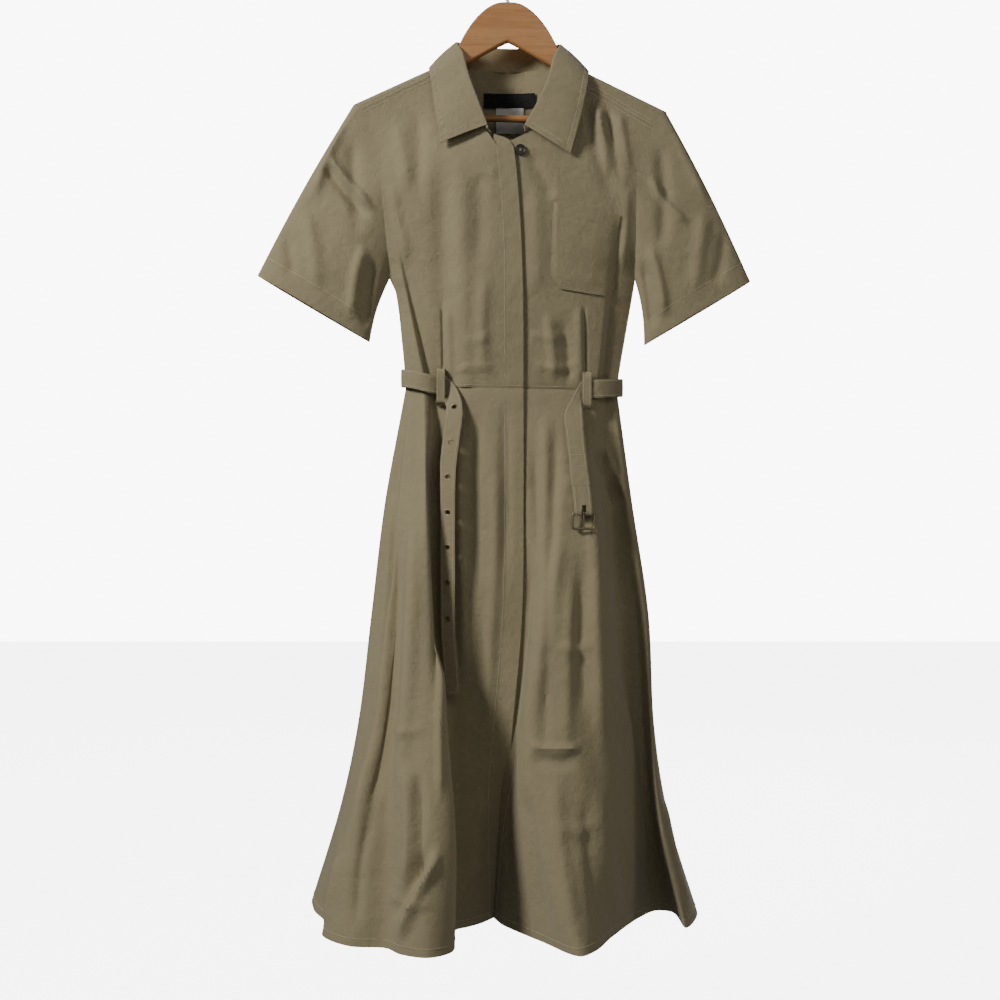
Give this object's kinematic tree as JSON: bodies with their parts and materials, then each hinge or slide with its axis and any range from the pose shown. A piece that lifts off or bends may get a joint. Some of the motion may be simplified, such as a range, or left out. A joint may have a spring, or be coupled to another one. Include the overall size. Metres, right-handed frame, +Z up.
{
  "type": "shirt dress on a hanger",
  "caption": "Collared cotton shirt dress with short sleeves, concealed front placket and a belt, hanging on a wooden hanger.",
  "frame": {"origin": "inner crown of the hanger's hook, where a rail holds it", "axes": "+Z up, the dress's front faces -Y, and +X is the wearer's left"},
  "size_m": [0.655, 0.313, 1.2764],
  "materials": {
    "cotton": "matt plain weave, khaki",
    "wood": "satin varnish",
    "bronze": "dull antique bronze",
    "button": "polished",
    "label_black": "satin woven",
    "label_white": "satin woven",
    "hook_steel": "polished"
  },
  "bodies": {
    "dress": {"front_right_bodice": "cotton", "front_left_bodice": "cotton", "back_bodice": "cotton", "fly_band_bodice": "cotton", "skirt_front_right": "cotton", "skirt_front_left": "cotton", "skirt_back": "cotton", "collar": "cotton", "sleeve_right": "cotton", "sleeve_left": "cotton", "chest_pocket": "cotton", "belt": "cotton", "belt_fold": "cotton", "belt_loop_right": "cotton", "belt_loop_left": "cotton", "belt_keeper": "cotton", "eyelet_1": "bronze", "eyelet_2": "bronze", "eyelet_3": "bronze", "eyelet_4": "bronze", "eyelet_5": "bronze", "eyelet_6": "bronze", "eyelet_7": "bronze", "neck_button": "button", "neck_label": "label_black", "care_label": "label_white", "hanger_body": "wood", "hanger_hook": "hook_steel"},
    "buckle": {"buckle_frame": "bronze"},
    "prong": {"buckle_prong": "bronze"}
  },
  "joints": [
    {"name": "buckle_swing", "type": "hinge", "parent": "dress", "child": "buckle", "pos_m": [0.097, -0.064, -0.737], "axis": [-1, 0, 0], "range_deg": [0, 75]},
    {"name": "prong_swing", "type": "hinge", "parent": "buckle", "child": "prong", "pos_m": [0.097, -0.064, -0.737], "axis": [-1, 0, 0], "range_deg": [0, 70]}
  ]
}
